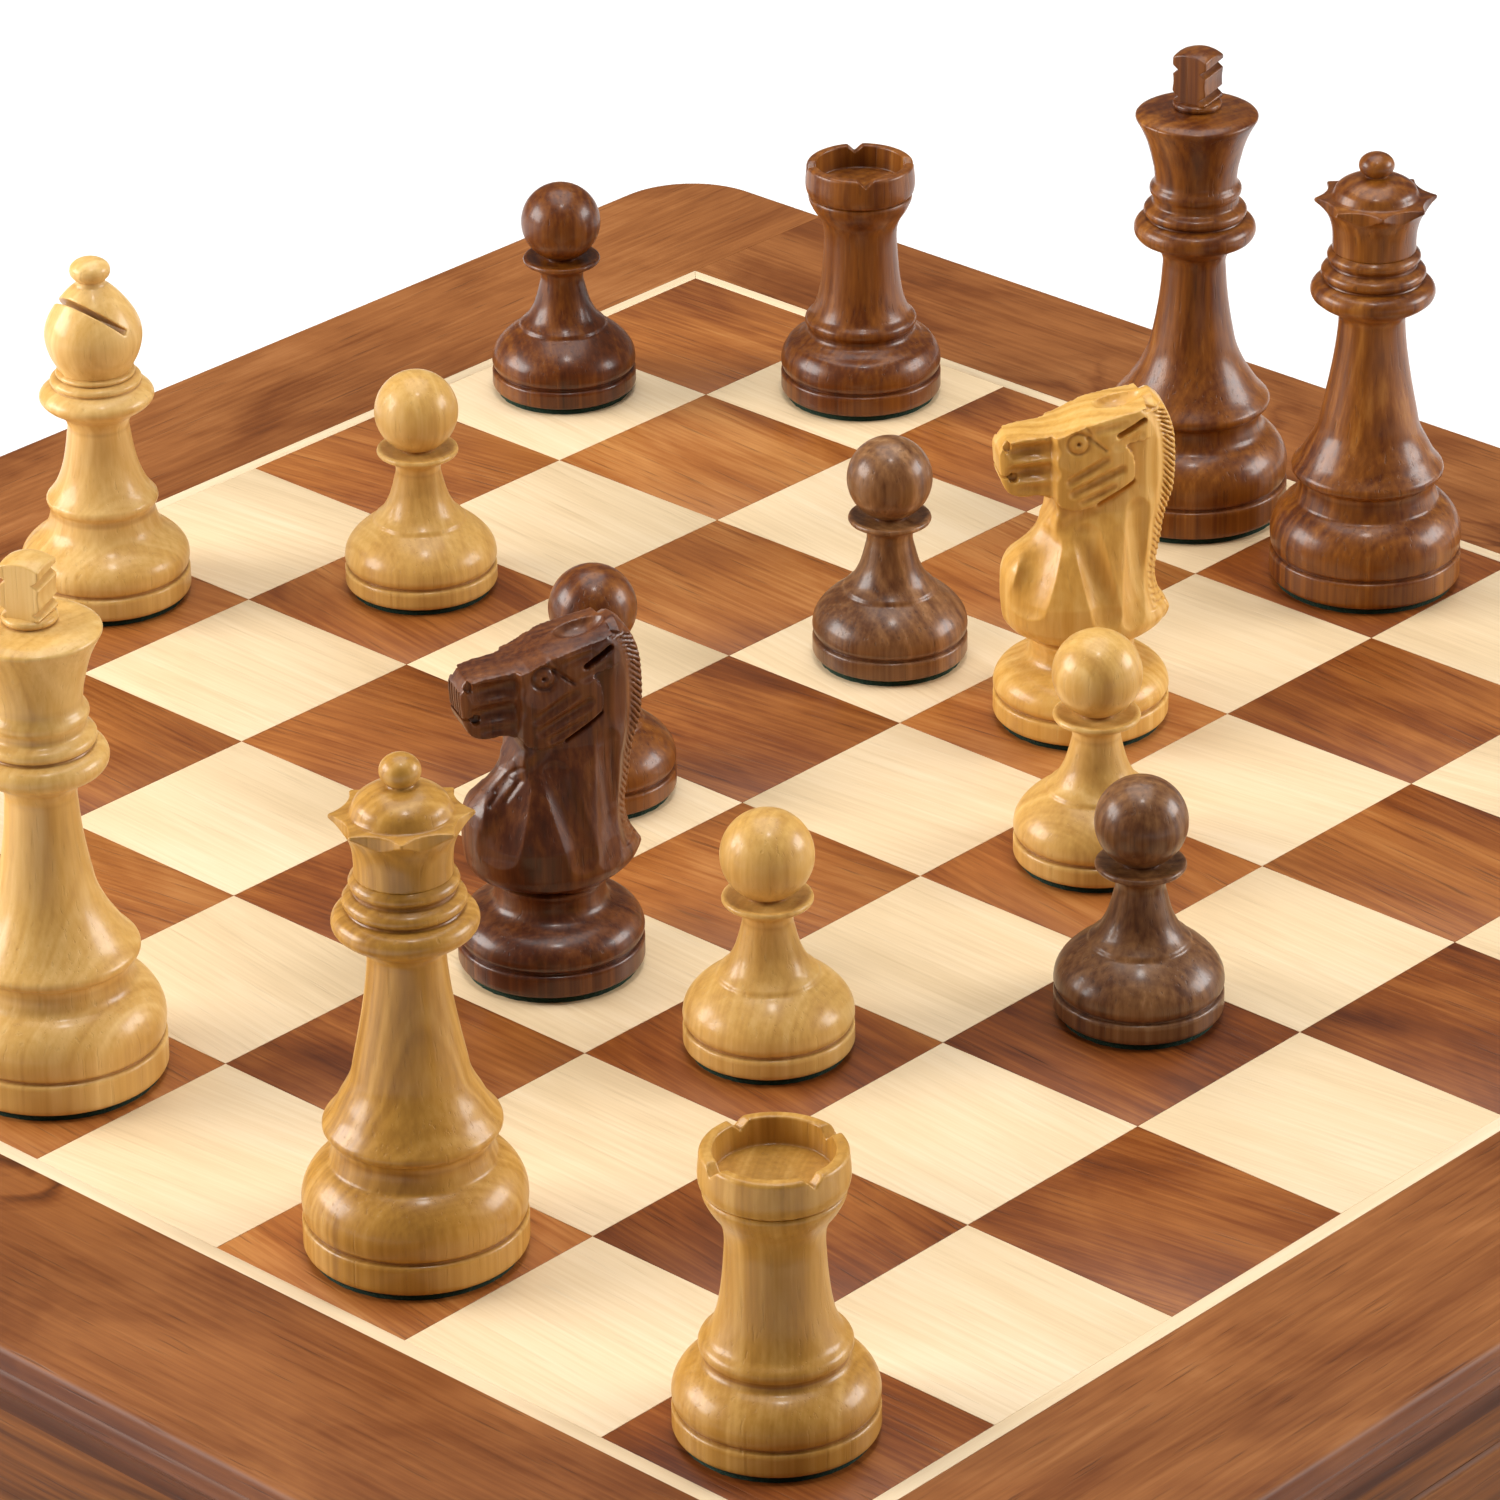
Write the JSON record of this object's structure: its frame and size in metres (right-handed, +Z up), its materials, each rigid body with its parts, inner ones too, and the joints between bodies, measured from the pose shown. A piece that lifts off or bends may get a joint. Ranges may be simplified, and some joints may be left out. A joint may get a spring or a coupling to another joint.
{
  "type": "chess set with cabinet board",
  "caption": "Turned and carved wooden chess men on an inlaid walnut and maple board, whose moulded case holds lined storage drawers.",
  "frame": {"origin": "centre of the base, in the plane the feet stand on", "axes": "+Z up; the board's ranks run along X and its files along Y, White sits at -Y, and the a1 square is the one at -X, -Y"},
  "size_m": [0.452, 0.4732, 0.1906],
  "materials": {
    "maple_veneer": "satin lacquer over straight-grained maple",
    "walnut_veneer": "satin lacquer over red-brown walnut",
    "border_walnut": "satin lacquer over figured walnut",
    "case_walnut": "satin lacquer over brown walnut",
    "plywood": "sanded, unfinished",
    "boxwood": "polished lacquer over yellow boxwood",
    "rosewood": "polished lacquer over dark sheesham",
    "baize": "short green nap",
    "brass": "polished"
  },
  "bodies": {
    "cabinet": {"board_core": "plywood", "light_squares": "maple_veneer", "dark_squares": "walnut_veneer", "inlay_line": "maple_veneer", "border_strips": "border_walnut", "under_moulding": "case_walnut", "side_panels": "case_walnut", "corner_posts": "case_walnut", "cross_rails": "case_walnut", "case_bottom": "plywood", "centre_divider": "plywood", "drawer_runners": "plywood", "feet": "baize"},
    "front_drawer": {"front_drawer_face": "case_walnut", "front_drawer_box": "plywood", "front_drawer_lining": "baize", "front_drawer_slats": "plywood", "front_drawer_knobs": "brass", "light_stored_men": "boxwood", "light_stored_pads": "baize"},
    "back_drawer": {"back_drawer_face": "case_walnut", "back_drawer_box": "plywood", "back_drawer_lining": "baize", "back_drawer_slats": "plywood", "back_drawer_knobs": "brass", "dark_stored_men": "rosewood", "dark_stored_pads": "baize"},
    "light_king": {"light_king": "boxwood", "light_king_pad": "baize"},
    "light_queen": {"light_queen": "boxwood", "light_queen_pad": "baize"},
    "light_bishop": {"light_bishop": "boxwood", "light_bishop_pad": "baize"},
    "light_knight": {"light_knight": "boxwood", "light_knight_pad": "baize"},
    "light_rook": {"light_rook": "boxwood", "light_rook_pad": "baize"},
    "light_pawn_a": {"light_pawn_a": "boxwood", "light_pawn_a_pad": "baize"},
    "light_pawn_b": {"light_pawn_b": "boxwood", "light_pawn_b_pad": "baize"},
    "light_pawn_c": {"light_pawn_c": "boxwood", "light_pawn_c_pad": "baize"},
    "dark_king": {"dark_king": "rosewood", "dark_king_pad": "baize"},
    "dark_queen": {"dark_queen": "rosewood", "dark_queen_pad": "baize"},
    "dark_knight": {"dark_knight": "rosewood", "dark_knight_pad": "baize"},
    "dark_rook": {"dark_rook": "rosewood", "dark_rook_pad": "baize"},
    "dark_pawn_a": {"dark_pawn_a": "rosewood", "dark_pawn_a_pad": "baize"},
    "dark_pawn_b": {"dark_pawn_b": "rosewood", "dark_pawn_b_pad": "baize"},
    "dark_pawn_c": {"dark_pawn_c": "rosewood", "dark_pawn_c_pad": "baize"},
    "dark_pawn_d": {"dark_pawn_d": "rosewood", "dark_pawn_d_pad": "baize"}
  },
  "joints": [
    {"name": "front_drawer_slide", "type": "slide", "parent": "cabinet", "child": "front_drawer", "axis": [0, -1, 0], "range_m": [0, 0.15]},
    {"name": "back_drawer_slide", "type": "slide", "parent": "cabinet", "child": "back_drawer", "axis": [0, 1, 0], "range_m": [0, 0.15]},
    {"name": "light_king_lift", "type": "slide", "parent": "cabinet", "child": "light_king", "axis": [0, 0, 1], "range_m": [0, 0.12]},
    {"name": "light_queen_lift", "type": "slide", "parent": "cabinet", "child": "light_queen", "axis": [0, 0, 1], "range_m": [0, 0.12]},
    {"name": "light_bishop_lift", "type": "slide", "parent": "cabinet", "child": "light_bishop", "axis": [0, 0, 1], "range_m": [0, 0.12]},
    {"name": "light_knight_lift", "type": "slide", "parent": "cabinet", "child": "light_knight", "axis": [0, 0, 1], "range_m": [0, 0.12]},
    {"name": "light_rook_lift", "type": "slide", "parent": "cabinet", "child": "light_rook", "axis": [0, 0, 1], "range_m": [0, 0.12]},
    {"name": "light_pawn_a_lift", "type": "slide", "parent": "cabinet", "child": "light_pawn_a", "axis": [0, 0, 1], "range_m": [0, 0.12]},
    {"name": "light_pawn_b_lift", "type": "slide", "parent": "cabinet", "child": "light_pawn_b", "axis": [0, 0, 1], "range_m": [0, 0.12]},
    {"name": "light_pawn_c_lift", "type": "slide", "parent": "cabinet", "child": "light_pawn_c", "axis": [0, 0, 1], "range_m": [0, 0.12]},
    {"name": "dark_king_lift", "type": "slide", "parent": "cabinet", "child": "dark_king", "axis": [0, 0, 1], "range_m": [0, 0.12]},
    {"name": "dark_queen_lift", "type": "slide", "parent": "cabinet", "child": "dark_queen", "axis": [0, 0, 1], "range_m": [0, 0.12]},
    {"name": "dark_knight_lift", "type": "slide", "parent": "cabinet", "child": "dark_knight", "axis": [0, 0, 1], "range_m": [0, 0.12]},
    {"name": "dark_rook_lift", "type": "slide", "parent": "cabinet", "child": "dark_rook", "axis": [0, 0, 1], "range_m": [0, 0.12]},
    {"name": "dark_pawn_a_lift", "type": "slide", "parent": "cabinet", "child": "dark_pawn_a", "axis": [0, 0, 1], "range_m": [0, 0.12]},
    {"name": "dark_pawn_b_lift", "type": "slide", "parent": "cabinet", "child": "dark_pawn_b", "axis": [0, 0, 1], "range_m": [0, 0.12]},
    {"name": "dark_pawn_c_lift", "type": "slide", "parent": "cabinet", "child": "dark_pawn_c", "axis": [0, 0, 1], "range_m": [0, 0.12]},
    {"name": "dark_pawn_d_lift", "type": "slide", "parent": "cabinet", "child": "dark_pawn_d", "axis": [0, 0, 1], "range_m": [0, 0.12]}
  ]
}
